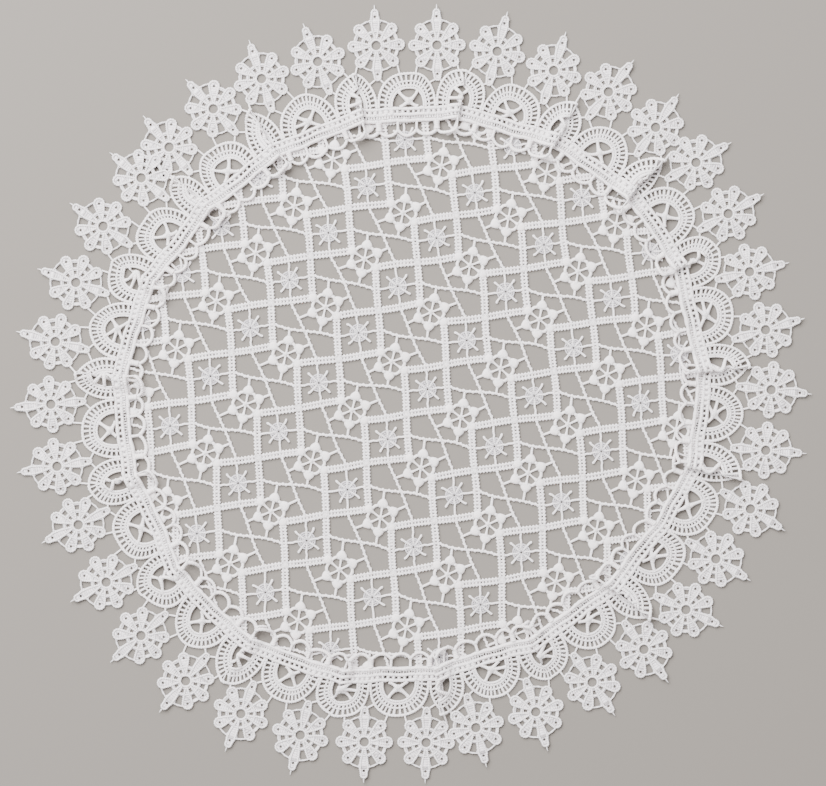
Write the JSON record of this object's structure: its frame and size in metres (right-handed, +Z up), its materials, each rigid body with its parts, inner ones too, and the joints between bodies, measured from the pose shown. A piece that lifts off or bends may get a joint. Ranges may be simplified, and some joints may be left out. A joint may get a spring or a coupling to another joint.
{
  "type": "lace doily",
  "caption": "Round table doily of white chemical lace, with a flat centre of star wheels and flowers and a pleated edging of fans and flowers.",
  "frame": {"origin": "under the middle of the doily's outline, at the height of the surface that it lies on", "axes": "+Z up out of the right side of the lace, +X along its widest way across, which is the picture's right, +Y the picture's top"},
  "size_m": [0.3952, 0.3862, 0.0079],
  "materials": {
    "ground_lace": "matte white thread with a faint satin sheen",
    "edging_lace": "matte white thread with a faint satin sheen"
  },
  "bodies": {
    "root": {"centre_ground": "ground_lace", "lace_edging": "edging_lace"}
  },
  "joints": []
}
